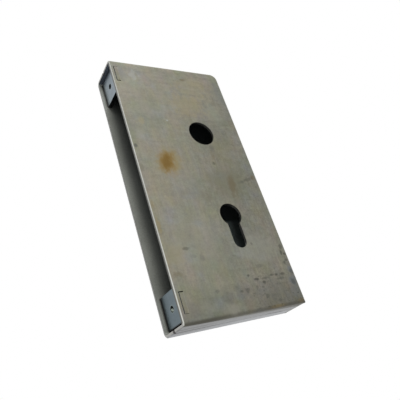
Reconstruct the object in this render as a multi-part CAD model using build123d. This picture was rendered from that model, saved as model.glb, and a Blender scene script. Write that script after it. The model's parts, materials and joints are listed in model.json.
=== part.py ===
from build123d import *

import os

# An empty weld-in case for a mortise lock, folded from steel sheet. It stands upright, as in a gate frame.
# X runs from the open mouth to the closed side, Y from the front plate to the back plate, and Z up.
# The base is at Z = 0, and X and Y are centred on the case. All sizes are in millimetres.

HEIGHT = 210.0
WIDTH = 100.0
DEPTH = 28.0
SHEET = 2.0

# Outer radii of the bends between each plate and its flanges
FRONT_BEND = 2.5
BACK_BEND = 4.0

# The closed side's corners: the upper one is ground round, the lower one is left nearly square
UPPER_CORNER = 6.5
LOWER_CORNER = 1.0
LOWER_WELD_LEG = 3.0

# Lock openings: both axes lie behind the mouth by the backset
BACKSET = 62.0
CYLINDER_HEIGHT = 71.5
HANDLE_SPACING = 72.0
HANDLE_HOLE = 21.6
CYLINDER_HOLE = 18.0
CYLINDER_TAIL_WIDTH = 10.8
CYLINDER_TAIL_DROP = 26.2

# Bracket plates that take the two screws of the lock's forend
BRACKET_RECESS = 3.0
BRACKET_THICKNESS = 2.5
BRACKET_HEIGHT = 22.0
LOWER_BRACKET_GAP = 4.0
UPPER_BRACKET_GAP = 3.4
BRACKET_CORNER = 0.8
SCREW_HOLE = 4.2

# Each bracket's tabs lie a little nearer the case's end than its middle. In both plates a tab is welded along
# one long side of its slot. In the back plate it fits tight, and in the front plate it has gaps on the mouth
# side and at both ends.
TAB_HEIGHT = 13.4
TAB_OFFSET = 1.0
TAB_WELD_WIDTH = 0.4
SLOT_MOUTH_GAP = 0.6
SLOT_INNER_END_GAP = 0.7
SLOT_OUTER_END_GAP = 0.2

# The bevel on each shell's outer edges, along the seam where the half-depth flanges meet and round the mouth
RIM_BEVEL = 0.6
SEAM_MOUTH_RADIUS = 1.4
END_STITCH = 10.0
SIDE_STITCH = 18.0
SIDE_STITCHES = 3

MOUTH = -WIDTH / 2
CLOSED = WIDTH / 2
HALF_DEPTH = DEPTH / 2
INNER_HALF_DEPTH = HALF_DEPTH - SHEET
AXIS_X = MOUTH + BACKSET
BRACKET_HEIGHTS = {
    "lower_bracket": LOWER_BRACKET_GAP + BRACKET_HEIGHT / 2,
    "upper_bracket": HEIGHT - UPPER_BRACKET_GAP - BRACKET_HEIGHT / 2,
}
TAB_FACE = MOUTH + BRACKET_RECESS
TAB_BACK = TAB_FACE + BRACKET_THICKNESS
PAST = 5.0


def block(low, high):
    """A box given by its lowest and highest corners."""
    size = [high[i] - low[i] for i in range(3)]
    return Pos(*low) * Box(*size, align=(Align.MIN, Align.MIN, Align.MIN))


def wall_outline(inset, lower_corner, mouth_reach):
    """The case's outline seen from the front, moved inwards by inset, with its closed corners rounded."""
    left = MOUTH - mouth_reach
    width = CLOSED - inset - left
    height = HEIGHT - 2 * inset
    corner = (left + width / 2, HEIGHT / 2)
    face = Plane.XZ * (Pos(*corner) * Rectangle(width, height))
    closed_corners = face.vertices().group_by(Axis.X)[-1].sort_by(Axis.Z)
    face = fillet(closed_corners[-1], UPPER_CORNER - inset)
    if lower_corner > 0:
        square = face.vertices().filter_by(lambda v: v.X > CLOSED - inset - 0.01).sort_by(Axis.Z)
        face = fillet(square[0], lower_corner)
    return face


def folded_block(inset, bend, mouth_reach):
    """One half of the case as a solid, with the bends rounded along three sides of its plate."""
    depth = HALF_DEPTH - inset
    body = extrude(wall_outline(inset, 0, mouth_reach), amount=depth)
    plate_edges = body.edges().filter_by(lambda e: abs(e.center().Y + depth) < 0.01)
    mouth_edge = plate_edges.sort_by(lambda e: e.center().X)[0]
    return fillet([e for e in plate_edges if e != mouth_edge], bend - inset)


def cylinder_profile(y_low, y_high):
    """The profile cylinder's opening: a round head over a narrower tail with a rounded end."""
    tail_radius = CYLINDER_TAIL_WIDTH / 2
    tail_end = CYLINDER_HEIGHT - CYLINDER_TAIL_DROP + tail_radius
    tail_length = CYLINDER_HEIGHT - tail_end
    head = Pos(AXIS_X, CYLINDER_HEIGHT) * Circle(CYLINDER_HOLE / 2)
    tail = Pos(AXIS_X, tail_end + tail_length / 2) * Rectangle(CYLINDER_TAIL_WIDTH, tail_length)
    end = Pos(AXIS_X, tail_end) * Circle(tail_radius)
    profile = Plane.XZ.offset(-y_high) * (head + tail + end)
    return extrude(profile, amount=y_high - y_low)


def handle_opening(y_low, y_high):
    """The round opening for the handle's spindle and rose."""
    profile = Plane.XZ.offset(-y_high) * (
        Pos(AXIS_X, CYLINDER_HEIGHT + HANDLE_SPACING) * Circle(HANDLE_HOLE / 2)
    )
    return extrude(profile, amount=y_high - y_low)


def towards_end(centre_height):
    """The way along Z from a bracket to the nearer end of the case."""
    return 1 if centre_height > HEIGHT / 2 else -1


def tab_middle(centre_height):
    """The height of the middle of a bracket's tabs."""
    return centre_height + TAB_OFFSET * towards_end(centre_height)


def tab_slot(centre_height, loose):
    """The slot in the front plate for one bracket tab and its weld, with gaps if the tab is loose."""
    mouth_gap = SLOT_MOUTH_GAP if loose else 0
    length = TAB_HEIGHT + (SLOT_INNER_END_GAP + SLOT_OUTER_END_GAP if loose else 0)
    shift = (SLOT_OUTER_END_GAP - SLOT_INNER_END_GAP) / 2 if loose else 0
    middle = tab_middle(centre_height) + shift * towards_end(centre_height)
    low = (TAB_FACE - mouth_gap, -HALF_DEPTH - PAST, middle - length / 2)
    high = (TAB_BACK + TAB_WELD_WIDTH, -INNER_HALF_DEPTH + SHEET / 2, middle + length / 2)
    return block(low, high)


def corner_cut(leg, lower, bend):
    """The space that a closed corner's weld takes in one half of the case, from its bend to the seam."""
    z_low = 0 if lower else HEIGHT - leg
    low = (CLOSED - leg, -HALF_DEPTH + bend, z_low - PAST if lower else z_low)
    high = (CLOSED + PAST, 0, leg if lower else HEIGHT + PAST)
    return block(low, high)


def half_shell(bend, loose):
    """A plate with three half-depth flanges, as the front shell, with its openings and tab slots cut."""
    shell = folded_block(0, bend, 0) - folded_block(SHEET, bend, PAST)
    shell -= corner_cut(UPPER_CORNER, False, bend)
    shell -= corner_cut(LOWER_WELD_LEG, True, bend)
    shell -= handle_opening(-HALF_DEPTH - PAST, 0)
    shell -= cylinder_profile(-HALF_DEPTH - PAST, 0)
    for centre_height in BRACKET_HEIGHTS.values():
        shell -= tab_slot(centre_height, loose)
    shell = round_flange_ends(shell)
    return bevel_rim(shell)


def round_flange_ends(shell):
    """Rounds the end flanges' corners at the mouth, which leaves a small notch in the seam's end."""
    at_seam = shell.edges().filter_by(Axis.Z).filter_by(lambda e: abs(e.center().Y) < 0.01)
    return fillet(at_seam.group_by(Axis.X)[0], SEAM_MOUTH_RADIUS)


def bevel_rim(shell):
    """Bevels the outer edges along the seam, for a shallow V, and on round the mouth's whole rim."""
    rim = shell.edges().filter_by(lambda e: abs(e.center().Y) < 0.01)
    outer = rim.filter_by(on_outer_face).filter_by(GeomType.LINE)
    return chamfer(outer, RIM_BEVEL)


def on_outer_face(edge):
    """True for an edge that lies on the base, the top or the closed side of the case."""
    centre = edge.center()
    on_base = abs(centre.Z) < 0.01
    on_top = abs(centre.Z - HEIGHT) < 0.01
    on_closed_side = abs(centre.X - CLOSED) < 0.01
    return on_base or on_top or on_closed_side


def bracket(centre_height):
    """A tabbed plate across the mouth with a tapped hole for one forend screw."""
    half = BRACKET_HEIGHT / 2
    low = (TAB_FACE, -INNER_HALF_DEPTH, centre_height - half)
    high = (TAB_BACK, INNER_HALF_DEPTH, centre_height + half)
    plate = block(low, high)
    plate = fillet(plate.edges().filter_by(Axis.X), BRACKET_CORNER)
    tab_low = (TAB_FACE, -HALF_DEPTH, tab_middle(centre_height) - TAB_HEIGHT / 2)
    tab_high = (TAB_BACK, HALF_DEPTH, tab_middle(centre_height) + TAB_HEIGHT / 2)
    plate += block(tab_low, tab_high)
    hole = Pos(TAB_FACE, 0, centre_height) * Rot(0, 90, 0) * Cylinder(SCREW_HOLE / 2, 4 * BRACKET_THICKNESS)
    return plate - hole


def corner_weld(leg, lower):
    """The weld that closes one corner of the closed side, ground flush with the walls."""
    lower_radius = LOWER_CORNER if lower else 0
    ring = wall_outline(0, lower_radius, 0) - wall_outline(SHEET, 0, PAST)
    wall = Pos(0, HALF_DEPTH - BACK_BEND, 0) * extrude(ring, amount=DEPTH - FRONT_BEND - BACK_BEND)
    z_low = 0 if lower else HEIGHT - leg
    corner = block((CLOSED - leg, -HALF_DEPTH, z_low), (CLOSED, HALF_DEPTH, z_low + leg))
    return wall & corner


def stitch(start, direction, outward, length):
    """A short weld that fills the seam's V from start along direction, flush with the wall."""
    across = Vector(0, RIM_BEVEL, 0)
    inward = Vector(*outward) * -RIM_BEVEL
    corner = Vector(*start)
    triangle = make_face(Polyline(corner - across, corner + across, corner + inward, close=True))
    return extrude(triangle, amount=length, dir=Vector(*direction))


def end_seam_weld(leg, height, outward):
    """The stitch beside the closed corner, on the base or on the top."""
    return stitch((CLOSED - leg, 0, height), (-1, 0, 0), (0, 0, outward), END_STITCH)


def side_seam_welds():
    """Stitches evenly spaced up the closed side."""
    welds = []
    for i in range(SIDE_STITCHES):
        middle = HEIGHT * (2 * i + 1) / (2 * SIDE_STITCHES)
        welds.append(stitch((CLOSED, 0, middle - SIDE_STITCH / 2), (0, 0, 1), (1, 0, 0), SIDE_STITCH))
    return welds


def tab_welds(plate_low):
    """The welds along the inner long side of both tabs in one plate, which starts at Y = plate_low."""
    welds = []
    for centre_height in BRACKET_HEIGHTS.values():
        middle = tab_middle(centre_height)
        low = (TAB_BACK, plate_low, middle - TAB_HEIGHT / 2)
        high = (TAB_BACK + TAB_WELD_WIDTH, plate_low + SHEET, middle + TAB_HEIGHT / 2)
        welds.append(block(low, high))
    return welds


def main():
    nodes = {
        "front_shell": half_shell(FRONT_BEND, loose=True),
        "back_shell": mirror(half_shell(BACK_BEND, loose=False), about=Plane.XZ),
        "upper_corner_weld": corner_weld(UPPER_CORNER, False),
        "lower_corner_weld": corner_weld(LOWER_WELD_LEG, True),
        "top_seam_weld": end_seam_weld(UPPER_CORNER, HEIGHT, 1),
        "base_seam_weld": end_seam_weld(LOWER_WELD_LEG, 0, -1),
        "side_seam_welds": Compound(children=side_seam_welds()),
        "front_tab_welds": Compound(children=tab_welds(-HALF_DEPTH)),
        "back_tab_welds": Compound(children=tab_welds(INNER_HALF_DEPTH)),
    }
    for name, centre_height in BRACKET_HEIGHTS.items():
        nodes[name] = bracket(centre_height)
    os.makedirs("parts", exist_ok=True)
    for name, shape in nodes.items():
        export_step(shape, f"parts/{name}.step")


main()
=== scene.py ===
import json
import math

import bmesh
import bpy
from mathutils import Matrix, Vector


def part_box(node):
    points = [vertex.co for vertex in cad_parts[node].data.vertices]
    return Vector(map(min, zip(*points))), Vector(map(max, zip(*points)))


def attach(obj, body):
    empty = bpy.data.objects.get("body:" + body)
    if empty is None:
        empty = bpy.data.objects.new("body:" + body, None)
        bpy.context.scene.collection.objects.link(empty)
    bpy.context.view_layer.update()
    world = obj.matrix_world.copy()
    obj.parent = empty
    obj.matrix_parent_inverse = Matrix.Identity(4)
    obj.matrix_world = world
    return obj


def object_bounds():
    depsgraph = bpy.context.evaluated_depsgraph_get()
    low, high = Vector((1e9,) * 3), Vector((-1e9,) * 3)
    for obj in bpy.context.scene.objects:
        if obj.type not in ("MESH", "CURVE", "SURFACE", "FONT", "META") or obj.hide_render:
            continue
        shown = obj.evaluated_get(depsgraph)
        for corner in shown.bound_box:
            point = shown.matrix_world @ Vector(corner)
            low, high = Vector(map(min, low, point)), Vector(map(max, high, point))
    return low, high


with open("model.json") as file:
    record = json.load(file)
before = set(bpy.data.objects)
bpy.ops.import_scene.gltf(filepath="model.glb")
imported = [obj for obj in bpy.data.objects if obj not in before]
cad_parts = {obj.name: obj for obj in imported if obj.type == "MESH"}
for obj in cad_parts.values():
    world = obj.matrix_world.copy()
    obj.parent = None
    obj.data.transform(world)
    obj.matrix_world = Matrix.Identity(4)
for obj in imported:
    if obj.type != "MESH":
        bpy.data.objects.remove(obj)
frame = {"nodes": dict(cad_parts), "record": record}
cad_low, cad_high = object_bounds()

# Lengths in the finishes are in millimetres, in the case's own frame: X from the open mouth to
# the closed side, Y from the front plate to the back plate, Z up the case. All other lengths are
# in metres.
MM = 0.001
MOUTH = cad_low.x / MM
CLOSED = cad_high.x / MM
FRONT = cad_low.y / MM
BACK = cad_high.y / MM
TOP = cad_high.z / MM
SHEET = 2.0
INNER_BACK = BACK - SHEET
RIM_BEVEL = 0.6

# A face's finish is whole to this depth into the steel, and gone at the second one
FACE_WHOLE = 0.02
FACE_GONE = 0.10

# A box round both openings through the plates, and the height of the profile cylinder's axis
OPENINGS_X = 12.0
OPENINGS_Z = 99.0
OPENINGS_HALF_WIDTH = 11.0
OPENINGS_HALF_HEIGHT = 56.0
CYLINDER_Z = 71.5

# The brackets' places, and how far each stands above or below the height midway between them
upper_low, upper_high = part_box("upper_bracket")
lower_low, lower_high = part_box("lower_bracket")
BRACKETS_MIDDLE = (upper_high.z + lower_low.z) / 2 / MM
BRACKETS_APART = (upper_low.z - lower_low.z) / 2 / MM
BRACKET_HALF_HEIGHT = (upper_high.z - upper_low.z) / 2 / MM
LOWER_FOOT = lower_low.z / MM
LOWER_HOLE = (lower_low.z + lower_high.z) / 2 / MM

# Round the middle of a bracket's hole: the radius at which each finish is gone, and at which it
# is whole
CHAMFER_RADII = (2.75, 2.55)
HOLE_WALL_RADII = (2.16, 2.12)
CREST_RADII = (2.08, 1.90)

# The thread in each bracket's hole, tapped M5. It starts and ends a part of a turn inside the
# hole, and its points that lie nearer to each other than the last length here are one.
THREAD_PITCH = 0.0008
THREAD_ROOT = 0.00214
THREAD_CREST = 0.00184
THREAD_FLANK = 0.42 * THREAD_PITCH
THREAD_STEPS = 24
THREAD_TURNS_SPARED = 0.3
SAME_POINT = 1e-7

# The camera looks up at the case from its mouth side, from below the base
CAMERA_PLACE = Vector((-0.18867, -0.25650, -0.04998))
CAMERA_AIM = Vector((0.00043, 0.0, 0.09192))
CAMERA_ROLL = math.radians(18.634)
CAMERA_LENS = 42.198
CAMERA_NEAREST = 0.01

# The room's light, how much more of it comes from the mouth's side, the front and above, and
# the lamp in front
ROOM_LEVEL = 0.60
ROOM_FROM_MOUTH = 0.25
ROOM_FROM_FRONT = 0.10
ROOM_FROM_ABOVE = 0.12
LAMP_PLACE = Vector((-0.35, -0.75, 0.95))
LAMP_AIM = Vector((0.0, 0.0, 0.1))
LAMP_WIDTH = 0.9
LAMP_POWER = 9.0

FLOOR_HALF_WIDTH = 2.0
FLOOR_DROP = 0.0002
FLOOR_PAINT = (0.9, 0.9, 0.9, 1)

# The sheet's skin, its inside and its edges
OLIVE_SKIN = (0.226, 0.228, 0.176)
WARM_SKIN = (0.264, 0.249, 0.196)
COOL_SKIN = (0.248, 0.254, 0.232)
# The inside is painted lighter near the mouth and painted dark deeper in, as light and shade
INSIDE_SKIN = (0.312, 0.322, 0.288)
DEEP_SHADE = (0.028, 0.033, 0.032)
TOP_SHADE = (0.082, 0.096, 0.120)
# The end walls are painted lighter and bluish as a painted reflection
END_WALL_FRONT = (0.260, 0.264, 0.263)
END_WALL_BACK = (0.352, 0.360, 0.374)
RIM_BARE_AND_HIGHLIGHT = (0.44, 0.445, 0.415)
FRONT_EDGE = (0.112, 0.112, 0.100)
BACK_EDGE = (0.230, 0.232, 0.220)
FLANGE_EDGE = (0.345, 0.342, 0.322)
# Partly scale, partly painted dark reflection along the lower bend
BEND_SCALE_AND_REFLECTION = (0.080, 0.076, 0.060)
NOTCH_SHADE = (0.045, 0.040, 0.042)
# Painted shade in the openings' and slots' walls
OPENING_SHADE = (0.045, 0.045, 0.040)
SLOT_SHADE = (0.030, 0.028, 0.020)
SEAM_SHADE = (0.085, 0.082, 0.078)

# The brackets, their threads and the welds
LOWER_BRACKET = (0.115, 0.149, 0.167)
UPPER_BRACKET = (0.212, 0.252, 0.282)
BRACKET_SHADE = (0.014, 0.015, 0.018)
# A painted highlight on the lower hole's chamfer, and painted shade in the holes and on the
# brackets' ends
CHAMFER_HIGHLIGHT = (0.26, 0.31, 0.28)
HOLE_SHADE = (0.025, 0.027, 0.026)
# Painted shade on the threads and a painted glint on the lower one
THREAD_SHADE = (0.012, 0.015, 0.013)
THREAD_GLINT = (0.70, 0.80, 0.70)
GROUND_METAL = (0.30, 0.31, 0.30)

# What has marked the front plate
RUST = (0.200, 0.128, 0.034)
DARK_RUST = (0.152, 0.086, 0.014)
PALE_RUST = (0.248, 0.200, 0.104)
GOLD = (0.286, 0.250, 0.138)
BROWN = (0.135, 0.110, 0.064)
OLIVE = (0.152, 0.148, 0.104)
GREASE = (0.085, 0.087, 0.080)
# Also used as painted shadow beside the brackets
SOOT_AND_SHADE = (0.045, 0.045, 0.038)
BLUE = (0.145, 0.157, 0.160)
PALE_BLUE = (0.325, 0.340, 0.328)
PALE = (0.285, 0.280, 0.235)

# Marks on the front plate, by colour: place across and up, half width and half height, turn in
# degrees, strength, and how ragged the outline is
MARKS = (
    (PALE, (
        (25.0, 44.0, 21.0, 14.0, 0, 0.38, 0.8),
        (31.0, 165.0, 10.0, 12.0, 0, 0.38, 1.0),
        (-30.0, 164.0, 14.0, 9.0, 0, 0.24, 1.0),
        (-12.0, 5.0, 9.0, 4.0, 0, 0.40, 1.2),
        (-29.0, 9.0, 9.0, 5.0, 0, 0.22, 1.6),
        (-26.0, 52.0, 24.0, 22.0, 0, 0.20, 0.8),
        (-41.0, 139.0, 4.0, 5.0, 0, 0.35, 1.8),
    )),
    (OLIVE, (
        (-17.8, 113.8, 1.4, 2.2, 0, 0.35, 1.4),
        (21.0, 98.0, 19.0, 17.0, 0, 0.62, 1.0),
        (-3.0, 87.0, 7.0, 5.0, 0, 0.35, 1.8),
        (27.0, 124.0, 15.0, 16.0, 0, 0.22, 1.2),
        (-48.0, 112.0, 2.0, 4.0, 0, 0.45, 1.6),
        (-4.0, 29.0, 8.0, 3.0, 0, 0.30, 1.8),
    )),
    (GOLD, (
        (10.0, 170.0, 19.0, 13.0, 0, 0.38, 2.2),
        (3.0, 168.0, 3.0, 8.0, -4, 0.40, 3.0),
        (9.0, 172.0, 2.4, 9.0, 6, 0.40, 3.0),
        (16.0, 175.0, 2.6, 10.0, 4, 0.45, 3.0),
        (-1.0, 178.0, 2.0, 7.0, 0, 0.30, 3.0),
        (-38.0, 152.0, 4.0, 5.0, 10, 0.40, 1.8),
        (-42.0, 45.0, 9.0, 9.0, 0, 0.35, 1.2),
        (18.0, 190.0, 21.0, 13.0, 0, 0.36, 1.4),
        (27.0, 124.0, 15.0, 16.0, 0, 0.14, 1.2),
        (25.0, 1.2, 5.4, 1.1, 0, 0.80, 1.4),
    )),
    (PALE_BLUE, (
        (-33.5, 196.0, 5.0, 5.0, 0, 0.46, 3.4),
        (-38.0, 189.0, 16.0, 17.0, 0, 0.12, 1.2),
        (-15.2, 154.0, 1.0, 1.0, 0, 0.85, 0.3),
    )),
    (BLUE, (
        (-43.0, 198.0, 6.0, 8.0, 0, 0.30, 1.4),
        (45.0, 187.0, 5.0, 15.0, 0, 0.42, 1.2),
        (-22.0, 90.5, 16.0, 5.0, 0, 0.22, 1.6),
        (46.4, 25.0, 2.4, 3.0, 0, 0.85, 1.6),
        (45.2, 16.4, 4.2, 5.0, 0, 0.90, 1.6),
        (44.0, 9.0, 6.0, 6.0, 0, 0.45, 1.6),
        (24.0, 12.0, 18.0, 10.0, 0, 0.22, 1.6),
        (-42.0, 9.0, 7.0, 5.0, 0, 0.22, 1.4),
    )),
    (GREASE, (
        (33.5, 98.6, 4.6, 1.4, -12, 0.28, 1.4),
        (16.2, 129.0, 2.4, 3.6, -8, 0.35, 1.8),
        (-47.8, 129.5, 1.5, 2.2, 0, 0.75, 0.8),
        (-23.5, 41.0, 2.6, 2.4, 0, 0.30, 2.4),
        (-29.0, 43.0, 3.0, 1.2, 10, 0.22, 2.4),
        (21.0, 30.6, 5.0, 1.6, 0, 0.35, 2.4),
        (36.0, 12.0, 24.0, 14.0, 0, 0.13, 1.0),
        (23.0, 8.0, 4.0, 2.4, 0, 0.30, 2.6),
        (-1.0, 15.0, 15.0, 5.0, 4, 0.20, 2.4),
        (-13.3, 12.6, 6.0, 5.0, 0, 0.34, 2.0),
        (-19.5, 17.5, 2.4, 1.6, 0, 0.40, 1.6),
        (-25.0, 12.5, 9.0, 3.0, 6, 0.18, 2.6),
    )),
    (BROWN, (
        (23.0, 95.0, 3.8, 10.5, 6, 0.65, 1.2),
        (21.0, 87.5, 2.6, 3.0, 0, 0.40, 1.6),
        (45.5, 102.6, 2.2, 2.6, 0, 0.70, 1.2),
        (15.0, 122.0, 1.8, 6.0, 6, 0.30, 1.8),
        (12.0, 198.4, 3.4, 1.6, -6, 0.60, 1.2),
        (-44.0, 31.8, 4.4, 2.4, 0, 0.40, 1.8),
        (24.0, 0.9, 8.5, 1.6, 0, 0.80, 1.2),
        (46.0, 2.0, 4.0, 1.8, 0, 0.70, 1.0),
    )),
    (PALE_RUST, (
        (-25.3, 116.6, 10.6, 13.4, 18, 0.85, 0.9),
        (-19.4, 115.0, 3.2, 6.0, 10, 0.80, 1.6),
        (-31.0, 108.5, 4.0, 3.0, -20, 0.50, 1.2),
        (-47.8, 66.0, 1.6, 7.0, 0, 0.55, 2.2),
        (-47.8, 82.0, 1.4, 3.6, 0, 0.35, 2.0),
    )),
    (RUST, (
        (-26.6, 116.4, 7.0, 10.6, 18, 1.00, 1.0),
    )),
    (DARK_RUST, (
        (-27.0, 115.8, 3.6, 7.6, 18, 0.62, 1.4),
    )),
    (SOOT_AND_SHADE, (
        (38.8, 100.6, 6.6, 1.6, -17, 0.36, 1.4),
        (13.4, 115.6, 1.3, 1.8, 0, 0.45, 1.0),
        (-33.0, 48.8, 2.8, 1.2, 0, 0.42, 1.2),
        (20.7, 47.6, 1.2, 1.2, 0, 0.40, 0.8),
        (2.5, 40.0, 1.4, 1.0, 0, 0.20, 1.0),
        (8.4, 24.8, 1.4, 1.1, 0, 0.65, 0.6),
        (13.8, 21.6, 2.4, 1.0, 4, 0.72, 1.2),
        (19.4, 18.8, 1.6, 1.2, 0, 0.68, 0.8),
        (12.6, 16.2, 1.8, 1.4, 0, 0.45, 1.6),
        (17.0, 15.6, 1.6, 1.0, 0, 0.40, 1.6),
        (20.5, 21.5, 4.0, 0.9, -6, 0.45, 2.2),
        (27.8, 22.8, 2.0, 0.9, 0, 0.55, 1.4),
        (32.2, 22.6, 1.8, 1.2, 0, 0.68, 1.2),
        (37.5, 22.8, 2.4, 1.0, -6, 0.58, 1.8),
        (34.0, 19.6, 4.0, 1.0, 0, 0.38, 2.4),
        (45.6, 42.5, 1.6, 2.4, 0, 0.50, 2.0),
        (44.2, 38.6, 1.2, 2.6, 10, 0.62, 1.4),
        (46.8, 37.0, 1.6, 1.2, 0, 0.65, 1.4),
        (46.2, 32.4, 1.8, 1.2, 0, 0.50, 1.6),
        (43.8, 30.6, 1.3, 1.6, 0, 0.60, 1.2),
        (46.6, 23.6, 1.6, 1.8, 0, 0.45, 2.0),
        (45.2, 15.8, 2.2, 2.8, 0, 0.50, 2.0),
        (18.2, 9.2, 2.2, 1.4, 0, 0.35, 1.8),
        (27.6, 4.8, 1.8, 1.2, 0, 0.30, 1.8),
        (3.5, 14.8, 2.2, 1.8, 0, 0.42, 1.6),
        (-1.2, 15.0, 1.6, 1.0, 0, 0.48, 1.2),
    )),
)

# A mark is gone at the first distance from its middle and whole at the second, counted in its
# half widths. Noise shakes its outline by a fraction of a millimetre across and up.
MARK_GONE = 1.25
MARK_WHOLE = 0.35
MARK_SHAKE = (0.8, 0.0, -0.8)

# The painted light level of the inside between the heights of 140 and 171, and how that changes
# above and
# below: each change, the height where it begins and the height where it is whole
INSIDE_LEVEL = 0.90
INSIDE_CHANGES = (
    (0.18, 140.0, 116.0),
    (-0.06, 106.0, 88.0),
    (0.06, 66.0, 54.0),
    (-0.10, 48.0, 38.0),
    (0.12, 171.0, 180.0),
)

# The dark band along the lower bend, partly scale and partly painted dark reflection: its width at
# the mouth, and its gain in width for each millimetre further in
BEND_BAND_WIDTH = 1.2
BEND_BAND_GAIN = 0.062

SKIN_GRAIN = 1.1
BUMP_STRENGTH = 0.35

# The Mix node's sockets for colours
MIX_FACTOR, MIX_FIRST, MIX_SECOND = 0, 6, 7
MIX_RESULT = 2


class Signal:
    """A socket's output. Sums and products of signals add the Math nodes that work them out."""

    def __init__(self, tree, socket):
        self.tree = tree
        self.socket = socket

    def __add__(self, other):
        return self.tree.maths("ADD", self, other)

    def __radd__(self, other):
        return self.tree.maths("ADD", other, self)

    def __sub__(self, other):
        return self.tree.maths("SUBTRACT", self, other)

    def __rsub__(self, other):
        return self.tree.maths("SUBTRACT", other, self)

    def __mul__(self, other):
        return self.tree.maths("MULTIPLY", self, other)

    def __rmul__(self, other):
        return self.tree.maths("MULTIPLY", other, self)

    def __abs__(self):
        return self.tree.maths("ABSOLUTE", self)


class Tree:
    """The nodes of one material, or of the world."""

    def __init__(self, owner):
        owner.use_nodes = True
        self.nodes = owner.node_tree.nodes
        self.links = owner.node_tree.links
        self.nodes.clear()

    def add(self, kind, settings=None, inputs=None, output=0):
        """Adds a node, and gives one of its outputs unless it has none."""
        node = self.nodes.new(kind)
        for name, value in (settings or {}).items():
            setattr(node, name, value)
        for name, value in (inputs or {}).items():
            if isinstance(value, Signal):
                self.links.new(value.socket, node.inputs[name])
            else:
                node.inputs[name].default_value = value
        return Signal(self, node.outputs[output]) if node.outputs else None

    def maths(self, operation, *values, clamp=False):
        settings = {"operation": operation, "use_clamp": clamp}
        return self.add("ShaderNodeMath", settings, dict(enumerate(values)))

    def vector_maths(self, operation, inputs, output=0):
        return self.add("ShaderNodeVectorMath", {"operation": operation}, inputs, output)

    def split(self, vector):
        """The three parts of a vector."""
        first = self.add("ShaderNodeSeparateXYZ", {}, {0: vector})
        return [Signal(self, output) for output in first.socket.node.outputs]


class Finish(Tree):
    """A steel finish. Its patterns come from the point on the case, in millimetres."""

    def __init__(self, name):
        self.material = bpy.data.materials.new(name)
        super().__init__(self.material)
        metres = self.add("ShaderNodeTexCoord", output="Object")
        self.place = self.scaled(metres, 1 / MM)
        self.x, self.y, self.z = self.split(self.place)

    def scaled(self, colour, factor):
        """A colour made lighter or darker by a factor, or a vector made longer or shorter."""
        return self.vector_maths("SCALE", {0: colour, "Scale": factor})

    def blend(self, mask, first, second):
        """first where mask is 0 and second where it is 1, both colours."""
        first, second = (
            (*colour, 1.0) if isinstance(colour, tuple) else colour for colour in (first, second)
        )
        inputs = {MIX_FACTOR: mask, MIX_FIRST: first, MIX_SECOND: second}
        return self.add("ShaderNodeMix", {"data_type": "RGBA"}, inputs, MIX_RESULT)

    def rise(self, value, low, high):
        """0 below low, 1 above high, smooth between. It falls where low is the larger."""
        inputs = {"Value": value, "From Min": low, "From Max": high}
        return self.add("ShaderNodeMapRange", {"interpolation_type": "SMOOTHSTEP"}, inputs)

    def larger(self, first, second):
        return self.maths("MAXIMUM", first, second)

    def noise(self, size, detail=3.0, stretch=(1.0, 1.0, 1.0), offset=(0.0, 0.0, 0.0), output=0):
        """Noise from 0 to 1, its features size millimetres wide and drawn out by stretch. An
        offset keeps two of them from following each other."""
        scale = [1 / (size * part) for part in stretch]
        inputs = {"Vector": self.place, "Location": offset, "Scale": scale}
        moved = self.add("ShaderNodeMapping", {}, inputs)
        inputs = {"Vector": moved, "Scale": 1.0, "Detail": detail}
        return self.add("ShaderNodeTexNoise", {}, inputs, output)

    def tinted(self, colour, amounts, size, stretch):
        """A colour whose red, green and blue each drift by their own amount, in patches."""
        drift = self.noise(size, stretch=stretch, output="Color")
        least = [1 - amount / 2 for amount in amounts]
        factor = self.vector_maths("MULTIPLY_ADD", {0: drift, 1: amounts, 2: least})
        return self.vector_maths("MULTIPLY", {0: colour, 1: factor})

    def oval(self, place, wobble, across, up, half_width, half_height, turn, ragged):
        """1 in the middle of an oval on the front plate and 0 outside, with a soft outline."""
        cos, sin = math.cos(math.radians(turn)), math.sin(math.radians(turn))
        wide = (cos / half_width, 0, -sin / half_width)
        high = (sin / half_height, 0, cos / half_height)
        from_middle = self.vector_maths("SUBTRACT", {0: place, 1: (across, FRONT, up)})
        wide = self.vector_maths("DOT_PRODUCT", {0: from_middle, 1: wide}, "Value")
        high = self.vector_maths("DOT_PRODUCT", {0: from_middle, 1: high}, "Value")
        distance = self.maths("SQRT", wide * wide + high * high)
        return self.rise(wobble * ragged + distance, MARK_GONE, MARK_WHOLE)

    def in_hole(self, gone, whole):
        """1 near the axis of a bracket's hole, to the radius whole, and 0 beyond gone."""
        off_middle = from_bracket(self.z)
        squared = self.y * self.y + off_middle * off_middle
        return self.rise(squared, gone * gone, whole * whole)

    def shade(self, colour, metallic, roughness, bump, bump_depth):
        """Joins up the steel's shader and gives the material. The bump is in millimetres."""
        inputs = {"Strength": BUMP_STRENGTH, "Distance": bump_depth * MM, "Height": bump}
        steel = self.add("ShaderNodeBsdfPrincipled", {}, {
            "Base Color": colour,
            "Metallic": metallic,
            "Roughness": roughness,
            "Normal": self.add("ShaderNodeBump", {}, inputs),
        })
        self.add("ShaderNodeOutputMaterial", {}, {"Surface": steel})
        return self.material


def from_bracket(z):
    """The height above or below the middle of the nearer bracket."""
    return abs(abs(z - BRACKETS_MIDDLE) - BRACKETS_APART)


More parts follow.
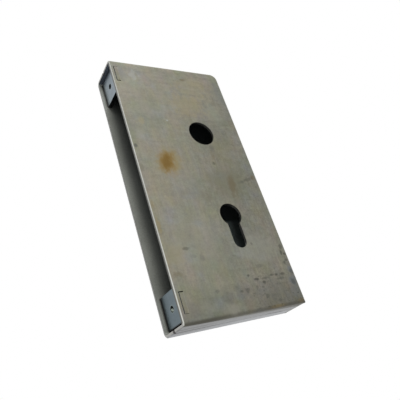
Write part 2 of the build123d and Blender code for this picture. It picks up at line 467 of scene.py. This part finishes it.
def mill_skin(steel, grain):
    """The dull skin that rolling leaves: olive, warm and cool clouds, streaked up and across,
    under painted shade and a painted highlight along the top bend.
    """
    x, z = steel.x, steel.z
    clouds = steel.noise(size=22.0, stretch=(1.0, 1.0, 1.5))
    drift = steel.noise(size=15.0, detail=4.0, stretch=(1.6, 1.0, 1.0), offset=(31.0, 7.0, 12.0))
    colour = steel.blend(steel.rise(clouds, 0.36, 0.66), OLIVE_SKIN, WARM_SKIN)
    colour = steel.blend(steel.rise(drift, 0.50, 0.72) * 0.8, colour, COOL_SKIN)
    colour = steel.tinted(colour, (0.20, 0.14, 0.45), size=8.0, stretch=(1.0, 1.0, 1.8))

    upward = steel.noise(size=1.6, detail=2.0, stretch=(1.0, 1.0, 8.0), offset=(3.0, 0.0, 0.0))
    across = steel.noise(size=2.2, detail=2.0, stretch=(6.0, 1.0, 1.0), offset=(0.0, 5.0, 0.0))
    blotches = steel.noise(size=3.4, stretch=(1.2, 1.0, 1.0), offset=(17.0, 0.0, 4.0))
    upper = steel.rise(z, 110.0, 180.0)
    streaks = (0.27 - 0.12 * upper) * (upward - 0.5) + (0.11 + 0.12 * upper) * (across - 0.5)
    uneven = streaks + 0.44 * (grain - 0.5) + 0.34 * (blotches - 0.5)
    fine = 1 + uneven * (1.0 + 0.5 * steel.rise(x, -15.0, 25.0))

    # Painted shade: darker at the lower end and towards the closed side, less so near the top,
    # with a painted highlight along the top bend
    near_top = steel.rise(z, 140.0, 200.0)
    near_base = steel.rise(z, 26.0, 0.0)
    top_bend = steel.rise(z, TOP - 7.0, TOP - 1.0)
    towards_closed = (0.155 - 0.07 * steel.rise(z, 150.0, 190.0)) * steel.rise(x, -20.0, 32.0)
    painted_shading = 0.90 + 0.02 * near_top - 0.20 * near_base + 0.10 * top_bend - towards_closed
    return steel.scaled(colour, fine * painted_shading)


def marked(steel, colour):
    """The stains and scuffs on the front plate's outer face, and where they are rust."""
    x, z = steel.x, steel.z
    on_front = steel.rise(steel.y, FRONT + 1.6, FRONT + 1.1)
    wobble = steel.noise(size=3.0, detail=4.0, stretch=(1.0, 1.0, 1.4), offset=(11.0, 3.0, 5.0))
    wobble = wobble - 0.5
    shaken = steel.vector_maths("MULTIPLY_ADD", {0: wobble, 1: MARK_SHAKE, 2: steel.place})
    for mark, ovals in MARKS:
        mask = 0.0
        for *shape, strength, ragged in ovals:
            mask = steel.larger(mask, steel.oval(shaken, wobble, *shape, ragged) * strength)
        mask = mask * on_front
        colour = steel.blend(mask, colour, mark)
        if mark == RUST:
            rusty = mask

    # Soot specks at the lower end, and up the edge on the closed side
    specks = steel.noise(size=1.4, detail=2.0, stretch=(1.6, 1.0, 1.0))
    specks = steel.rise(specks, 0.60, 0.70)
    specked = steel.rise(z, 30.0, 18.0) * steel.rise(x, -30.0, 30.0)
    specked = specked + 0.6 * steel.rise(x, 40.0, 48.0) * steel.rise(z, 60.0, 35.0)
    return steel.blend(specks * specked * on_front * 0.55, colour, SOOT_AND_SHADE), rusty


def dark_bend(steel, colour, past_bend_band):
    """A dark band along the outside of the lower bend, partly scale and partly painted dark
    reflection, faintest near its middle.
    """
    scale = steel.rise(steel.z, 2.8, 0.9) * steel.rise(past_bend_band, 0.7, -0.3)
    from_middle = steel.rise(steel.x, -30.0, -8.0)
    past_middle = steel.rise(steel.x, 4.0, 20.0)
    strength = 0.90 - 0.42 * from_middle + 0.22 * past_middle
    return steel.blend(scale * strength, colour, BEND_SCALE_AND_REFLECTION)


def end_walls(steel, colour, lines, from_end, past_bend_band):
    """The outside of the top and the base, painted lighter and bluish as a painted reflection, and
    the seam round the case, painted dark as shade in its groove. Near the mouth the walls are
    painted darker along a streak and as shade beside the seam, they are paler on the back half
    towards the closed side, and the seam's painted shade is fainter in its middle."""
    x, y = steel.x, steel.y
    end_outside = steel.rise(from_end, 0.9, 0.3) * steel.rise(past_bend_band, -0.3, 0.7)
    wall = steel.blend(steel.rise(y, FRONT + 2.0, BACK - 4.0), END_WALL_FRONT, END_WALL_BACK)
    near_mouth = steel.rise(x, -18.0, -32.0)
    streak = steel.rise(abs(y + 5.0), 3.4, 0.8)
    beside_seam = steel.rise(abs(y - 2.6), 3.0, 1.2)
    paler = steel.rise(y, -3.0, 2.0) * steel.rise(x, -14.0, 2.0)
    tone = 1 - (0.30 * streak + 0.20 * beside_seam) * near_mouth + 0.14 * paler
    # Painted reflection: the end walls are painted lighter and bluish
    colour = steel.blend(end_outside, colour, steel.scaled(wall, (0.85 + 0.3 * lines) * tone))

    closed_side = steel.rise(x, CLOSED - 0.9, CLOSED - 0.3)
    # Painted shade in the seam's groove, fainter in its middle
    seam = steel.rise(abs(y), 0.9, 0.45) * steel.larger(end_outside, closed_side)
    middle = steel.rise(x, -24.0, -12.0) * steel.rise(x, 27.0, 21.0)
    return steel.blend(seam * (0.8 - 0.6 * middle), colour, SEAM_SHADE)


def bare_rim(steel, colour, lines, from_end):
    """The bare bevel round the mouth's rim, lighter as bare steel and lighter still as painted
    highlight, brightest at its lower end, and where it is.
    """
    bevel_end = MOUTH + RIM_BEVEL
    rim = steel.rise(steel.x, bevel_end + 0.06, bevel_end - 0.04) * steel.rise(from_end, 0.6, 1.0)
    above_base = steel.rise(steel.z, 10.0, 90.0)
    near_top = steel.rise(steel.z, 120.0, 195.0)
    # Painted highlight on the bare rim, brightest at its lower end
    bright = (1.22 - 0.32 * above_base - 0.25 * near_top) * (0.8 + 0.4 * lines)
    return steel.blend(rim, colour, steel.scaled(RIM_BARE_AND_HIGHLIGHT, bright)), rim


def facing_inwards(steel, from_end):
    """1 on the sheet's faces inside the case."""
    inner_side = CLOSED - SHEET
    inside = steel.rise(abs(steel.y), INNER_BACK + FACE_GONE, INNER_BACK + FACE_WHOLE)
    inside = inside * steel.rise(from_end, SHEET - FACE_GONE, SHEET - FACE_WHOLE)
    return inside * steel.rise(steel.x, inner_side + FACE_GONE, inner_side + FACE_WHOLE)


def inside_skin(steel, grain):
    """The inside, greyer, painted lighter near the mouth's edge and darkening away from it as
    painted shade.
    """
    x, z = steel.x, steel.z
    inwards = x + 1.3 * steel.rise(z, 60.0, 145.0) - 0.8
    deep = 0.6 * steel.rise(inwards, MOUTH, MOUTH + 9.0)
    deep = deep + 0.4 * steel.rise(inwards, MOUTH + 4.0, MOUTH + 19.0)
    patches = steel.noise(size=12.0, stretch=(1.0, 1.0, 2.0))
    colour = steel.blend(deep, INSIDE_SKIN, DEEP_SHADE)
    colour = steel.scaled(colour, 0.75 + 0.5 * grain + 0.4 * (patches - 0.5))

    # Painted light behind the openings, and a painted pool of light low behind the cylinder's
    from_cylinder_down = steel.rise(z, CYLINDER_Z + 9.0, CYLINDER_Z + 5.0)
    through_openings = 1.2 - 0.7 * steel.rise(z, 110.0, 96.0) + 1.9 * from_cylinder_down
    light_pool = from_cylinder_down * steel.rise(z, 44.0, CYLINDER_Z + 4.5)
    light_pool = light_pool * steel.rise(x, 14.0, 22.0) * steel.rise(x, 34.2, 27.8)
    behind_openings = steel.rise(x, -20.0, 5.0)
    colour = steel.scaled(colour, (1 + through_openings * behind_openings) * (1 + 2.2 * light_pool))

    level = INSIDE_LEVEL
    for change, start, whole in INSIDE_CHANGES:
        level = level + change * steel.rise(z, start, whole)
    colour = steel.scaled(colour, level)

    # Painted shadow in the corners between the brackets and the plates
    bracket_shadow = steel.rise(x, MOUTH + 1.6, MOUTH + 2.9) * steel.rise(x, MOUTH + 6.5, MOUTH + 5.5)
    bracket_shadow = bracket_shadow * steel.rise(from_bracket(z), BRACKET_HALF_HEIGHT + 0.8, BRACKET_HALF_HEIGHT - 0.6)
    colour = steel.blend(0.85 * bracket_shadow, colour, SOOT_AND_SHADE)
    inner_top = TOP - SHEET
    return steel.blend(steel.rise(z, inner_top - 1.0, inner_top - 0.1), colour, TOP_SHADE)


def opening_walls(steel, colour, from_end):
    """Painted shade on the walls of the openings and of the tab slots, between a plate's two
    faces.
    """
    x, y, z = steel.x, steel.y, steel.z
    within = steel.rise(abs(y), INNER_BACK + 0.04, INNER_BACK + 0.12)
    within = within * steel.rise(abs(y), BACK - 0.05, BACK - 0.35)
    opening = steel.rise(abs(x - OPENINGS_X), OPENINGS_HALF_WIDTH + 1.0, OPENINGS_HALF_WIDTH)
    half_height = OPENINGS_HALF_HEIGHT
    opening = opening * steel.rise(abs(z - OPENINGS_Z), half_height + 0.5, half_height)
    colour = steel.blend(within * opening, colour, OPENING_SHADE)
    slot = steel.rise(x, MOUTH + 1.5, MOUTH + 2.3) * steel.rise(x, MOUTH + 8.0, MOUTH + 7.5)
    return steel.blend(within * slot * steel.rise(from_end, 3.0, 4.0), colour, SLOT_SHADE)


def cut_edges(steel, colour, lines, from_end):
    """The cut edges at the mouth: darker in front, pale on the flanges, and painted shade in the
    seam's notch.
    """
    x, y = steel.x, steel.y
    cut = steel.rise(x, MOUTH + FACE_GONE, MOUTH + FACE_WHOLE)
    edge = steel.blend(steel.rise(y, FRONT + 4.0, BACK - 2.0), FRONT_EDGE, BACK_EDGE)
    edge = steel.blend(steel.rise(from_end, SHEET + 0.7, SHEET + 0.2), edge, FLANGE_EDGE)
    colour = steel.blend(cut, colour, steel.scaled(edge, 0.75 + 0.5 * lines))
    # Painted shade in the seam's notch
    notch = steel.rise(abs(y), 1.5, 1.1) * steel.rise(x, MOUTH + 1.6, MOUTH + 1.2)
    notch = notch * steel.rise(from_end, SHEET + 0.2, SHEET)
    return steel.blend(notch * 0.9, colour, NOTCH_SHADE)


def sheet_steel():
    """Hot-rolled sheet with a dull skin, stained and marked, with a bare rim, and with painted
    light and shade on its ends, rim, bend and inside.
    """
    steel = Finish("sheet_steel")
    grain = steel.noise(SKIN_GRAIN)
    lines = steel.noise(size=1.0, stretch=(5.0, 1.0, 1.0))
    # How far each point is from the nearer end wall's outside, and behind the bend's dark band
    from_end = TOP / 2 - abs(steel.z - TOP / 2)
    past_bend_band = steel.y - (FRONT + BEND_BAND_WIDTH + BEND_BAND_GAIN * (steel.x - MOUTH))

    colour = dark_bend(steel, mill_skin(steel, grain), past_bend_band)
    colour, rusty = marked(steel, colour)
    colour = end_walls(steel, colour, lines, from_end, past_bend_band)
    colour, rim = bare_rim(steel, colour, lines, from_end)
    inside = facing_inwards(steel, from_end)
    colour = steel.blend(inside, colour, inside_skin(steel, grain))
    colour = opening_walls(steel, colour, from_end)
    colour = cut_edges(steel, colour, lines, from_end)

    roughness = 0.42 + 0.14 * grain - 0.10 * rim + 0.20 * rusty
    metallic = 0.75 - 0.20 * rusty - 0.35 * inside
    return steel.shade(colour, metallic, roughness, bump=grain, bump_depth=0.02)


def bracket_steel():
    """Clean cold-rolled plate, blue-grey and darker on the lower bracket. It is painted dark as
    shade beside the back plate and along the lower bracket's foot, and its tabs' ends match the
    sheet."""
    steel = Finish("bracket_steel")
    y, z = steel.y, steel.z
    upper = steel.rise(z, 60.0, 150.0)
    grain = steel.noise(size=0.7, detail=2.0, stretch=(1.0, 1.0, 10.0))
    clouds = steel.noise(size=5.0)
    colour = steel.blend(upper, LOWER_BRACKET, UPPER_BRACKET)
    colour = steel.scaled(colour, 0.65 + 0.4 * clouds + 0.3 * grain)
    # Painted shade beside the back plate and along the lower bracket's foot
    shade = steel.rise(y, BACK - 6.2, BACK - 2.5)
    shade = steel.larger(shade, steel.rise(z, LOWER_FOOT + 0.8, LOWER_FOOT + 0.3))
    colour = steel.blend(0.92 * shade, colour, BRACKET_SHADE)

    # The lower hole's chamfered mouth gets a painted highlight. The brackets' ends and the holes'
    # walls are painted dark as shade.
    chamfer_highlight = steel.in_hole(*CHAMFER_RADII) * (1 - upper)
    colour = steel.blend(0.4 * chamfer_highlight, colour, CHAMFER_HIGHLIGHT)
    end = BRACKET_HALF_HEIGHT
    ends = steel.rise(from_bracket(z), end - FACE_GONE, end - FACE_WHOLE)
    dark = steel.larger(ends, steel.in_hole(*HOLE_WALL_RADII))
    colour = steel.blend(dark, colour, HOLE_SHADE)

    tab_ends = steel.rise(abs(y), BACK - 0.3, BACK - 0.1)
    colour = steel.blend(tab_ends, colour, mill_skin(steel, steel.noise(SKIN_GRAIN)))
    roughness = 0.28 + 0.12 * grain
    return steel.shade(colour, metallic=0.9, roughness=roughness, bump=grain, bump_depth=0.01)


def tapped_steel():
    """The threads in the brackets, painted dark as shade but for a painted glint across the lower
    one.
    """
    steel = Finish("tapped_steel")
    bright = steel.in_hole(*CREST_RADII) * steel.rise(steel.z, LOWER_HOLE + 1.0, LOWER_HOLE + 0.4)
    bright = bright * steel.rise(steel.z, LOWER_HOLE - 1.3, LOWER_HOLE - 0.5)
    colour = steel.blend(bright, THREAD_SHADE, THREAD_GLINT)
    return steel.shade(colour, metallic=0.9, roughness=0.30, bump=bright, bump_depth=0.01)


def ground_weld():
    """Weld metal ground flush with the sheet, with fine grinding lines from front to back."""
    steel = Finish("ground_weld")
    lines = steel.noise(size=0.6, detail=2.0, stretch=(1.0, 8.0, 1.0))
    colour = mill_skin(steel, steel.noise(SKIN_GRAIN))
    colour = steel.blend(0.45 * lines, colour, GROUND_METAL)
    roughness = 0.36 + 0.14 * lines
    return steel.shade(colour, metallic=0.8, roughness=roughness, bump=lines, bump_depth=0.02)


def add_to_scene(name, data):
    thing = bpy.data.objects.new(name, data)
    bpy.context.scene.collection.objects.link(thing)
    return thing


def mesh_piece(name, mesh, material):
    """A piece made from a finished bmesh."""
    data = bpy.data.meshes.new(name)
    mesh.to_mesh(data)
    mesh.free()
    data.materials.append(material)
    return add_to_scene(name, data)


def tapped_thread(name, node, steel):
    """The thread inside one bracket's hole: a ridge wound round the bore, seen as fine glints."""
    low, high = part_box(node)
    middle = (low + high) / 2
    turns = (high.x - low.x) / THREAD_PITCH - 2 * THREAD_TURNS_SPARED
    steps = round(turns * THREAD_STEPS)
    start = low.x + THREAD_TURNS_SPARED * THREAD_PITCH
    mesh = bmesh.new()
    profile = ((THREAD_ROOT, -THREAD_FLANK), (THREAD_CREST, 0.0), (THREAD_ROOT, THREAD_FLANK))
    corners = [(start + along, middle.y, middle.z + radius) for radius, along in profile]
    verts = [mesh.verts.new(corner) for corner in corners]
    face = mesh.faces.new(verts)
    bmesh.ops.spin(
        mesh, geom=[face, *verts, *face.edges], cent=middle, axis=(1, 0, 0),
        dvec=(THREAD_PITCH / THREAD_STEPS, 0, 0), angle=2 * math.pi * steps / THREAD_STEPS,
        steps=steps, use_merge=False, use_duplicate=False,
    )
    bmesh.ops.remove_doubles(mesh, verts=mesh.verts[:], dist=SAME_POINT)
    bmesh.ops.recalc_face_normals(mesh, faces=mesh.faces[:])
    thread = mesh_piece(name, mesh, steel)
    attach(thread, "root")


def make_camera():
    view = (CAMERA_AIM - CAMERA_PLACE).normalized()
    right = view.cross(Vector((0, 0, 1))).normalized()
    upright = Matrix((right, right.cross(view), -view)).transposed()
    turned = upright @ Matrix.Rotation(-CAMERA_ROLL, 3, "Z")
    data = bpy.data.cameras.new("camera")
    data.lens = CAMERA_LENS
    data.clip_start = CAMERA_NEAREST
    camera = add_to_scene("camera", data)
    camera.matrix_world = Matrix.Translation(CAMERA_PLACE) @ turned.to_4x4()
    bpy.context.scene.camera = camera


def make_room():
    """A pale room round the case, which the camera and the steel's gloss see as white."""
    world = bpy.data.worlds.new("room")
    bpy.context.scene.world = world
    tree = Tree(world)
    x, y, z = tree.split(tree.add("ShaderNodeTexCoord", output="Generated"))
    level = ROOM_LEVEL - ROOM_FROM_MOUTH * x - ROOM_FROM_FRONT * y + ROOM_FROM_ABOVE * z
    camera = tree.add("ShaderNodeLightPath", output="Is Camera Ray")
    glossy = tree.add("ShaderNodeLightPath", output="Is Glossy Ray")
    through = tree.add("ShaderNodeLightPath", output="Is Transmission Ray")
    seen = tree.maths("ADD", camera + glossy, through, clamp=True)
    inputs = {"Color": (1, 1, 1, 1), "Strength": level + seen * (1 - level)}
    light = tree.add("ShaderNodeBackground", {}, inputs)
    tree.add("ShaderNodeOutputWorld", {}, {"Surface": light})


def make_lamp():
    data = bpy.data.lights.new("key", "AREA")
    data.shape = "DISK"
    data.size = LAMP_WIDTH
    data.energy = LAMP_POWER
    lamp = add_to_scene("key", data)
    lamp.rotation_euler = (LAMP_AIM - LAMP_PLACE).to_track_quat("-Z", "Y").to_euler()
    lamp.location = LAMP_PLACE


def floor_paint():
    """Pale paint that only the camera sees, and only from above. Light passes through it."""
    material = bpy.data.materials.new("floor_paint")
    tree = Tree(material)
    under = tree.add("ShaderNodeNewGeometry", output="Backfacing")
    seen = tree.add("ShaderNodeLightPath", output="Is Camera Ray")
    paint = tree.add("ShaderNodeBsdfDiffuse", {}, {"Color": FLOOR_PAINT})
    clear = tree.add("ShaderNodeBsdfTransparent")
    shown = tree.add("ShaderNodeMixShader", {}, {0: seen * (1 - under), 1: clear, 2: paint})
    tree.add("ShaderNodeOutputMaterial", {}, {"Surface": shown})
    return material


def make_floor():
    mesh = bmesh.new()
    drop = Matrix.Translation((0.0, 0.0, -FLOOR_DROP))
    bmesh.ops.create_grid(mesh, x_segments=1, y_segments=1, size=FLOOR_HALF_WIDTH, matrix=drop)
    floor = mesh_piece("floor", mesh, floor_paint())


def finish_nodes(finishes):
    """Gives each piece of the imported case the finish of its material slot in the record."""
    for part in frame["record"]["subparts"]:
        node = frame["nodes"][part["node"]]
        node.data.materials.clear()
        node.data.materials.append(finishes[part["material_slot"]])


make_camera()
make_room()
make_lamp()
make_floor()

threads = tapped_steel()
finish_nodes({
    "raw_sheet": sheet_steel(),
    "bracket_steel": bracket_steel(),
    "ground_weld": ground_weld(),
})
tapped_thread("upper_thread", "upper_bracket", threads)
tapped_thread("lower_thread", "lower_bracket", threads)

bpy.context.scene.view_settings.view_transform = "Standard"
